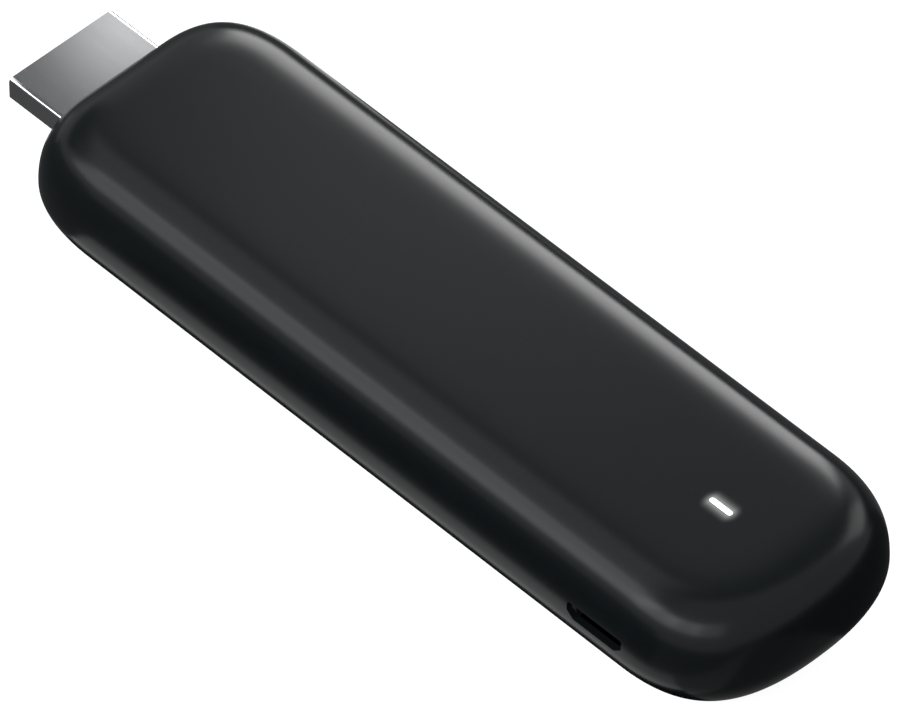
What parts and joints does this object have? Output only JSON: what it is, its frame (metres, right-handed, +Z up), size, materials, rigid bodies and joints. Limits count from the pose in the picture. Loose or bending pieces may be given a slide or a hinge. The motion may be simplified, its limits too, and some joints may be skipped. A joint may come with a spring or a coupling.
{
  "type": "streaming media stick",
  "caption": "Matte black pebble-shaped streaming stick: metal video plug at one end, power socket in one long side, glowing pill indicator in the top.",
  "frame": {"origin": "middle of the housing's flat underside, half way along the housing without the plug", "axes": "+X along the stick towards the video plug's mouth, +Y towards the long side with the power socket, +Z up through the top face with the indicator"},
  "size_m": [0.1067, 0.0308, 0.0154],
  "materials": {
    "housing": "fine satin moulding texture, black",
    "plug_metal": "nickel plated, satin",
    "contact_gold": "gold plated",
    "black_moulding": "black moulding",
    "board_mask": "dark solder mask",
    "chip_moulding": "moulded package",
    "inductor_ferrite": "moulded ferrite",
    "capacitor_ceramic": "fired ceramic",
    "shield_tin": "tinned sheet",
    "antenna_metal": "tinned sheet",
    "spreader_aluminium": "rolled sheet",
    "thermal_gel": "soft filled gel",
    "light_pipe": "clear diffusing moulding, glows white",
    "lamp": "lamp package",
    "foam": "closed-cell foam"
  },
  "bodies": {
    "root": {"top_cover": "housing", "bottom_cover": "housing", "video_plug_shell": "plug_metal", "video_plug_bracket": "plug_metal", "power_socket_shell": "plug_metal", "video_plug_contacts_upper": "contact_gold", "video_plug_contacts_lower": "contact_gold", "power_socket_contacts": "contact_gold", "video_plug_insulator": "black_moulding", "power_socket_tongue": "black_moulding", "circuit_board": "board_mask", "main_processor": "chip_moulding", "memory_chips": "chip_moulding", "storage_chip": "chip_moulding", "power_regulator": "chip_moulding", "power_inductors": "inductor_ferrite", "capacitors": "capacitor_ceramic", "upper_shield_frame": "shield_tin", "upper_shield_lid": "shield_tin", "lower_shield_frame": "shield_tin", "lower_shield_lid": "shield_tin", "wireless_module": "shield_tin", "timing_crystal": "shield_tin", "antenna_left": "antenna_metal", "antenna_right": "antenna_metal", "upper_heat_spreader": "spreader_aluminium", "lower_heat_spreader": "spreader_aluminium", "processor_pad": "thermal_gel", "upper_thermal_pad": "thermal_gel", "lower_thermal_pad": "thermal_gel", "light_pipe": "light_pipe", "indicator_led": "lamp", "light_gasket": "foam"}
  },
  "joints": []
}
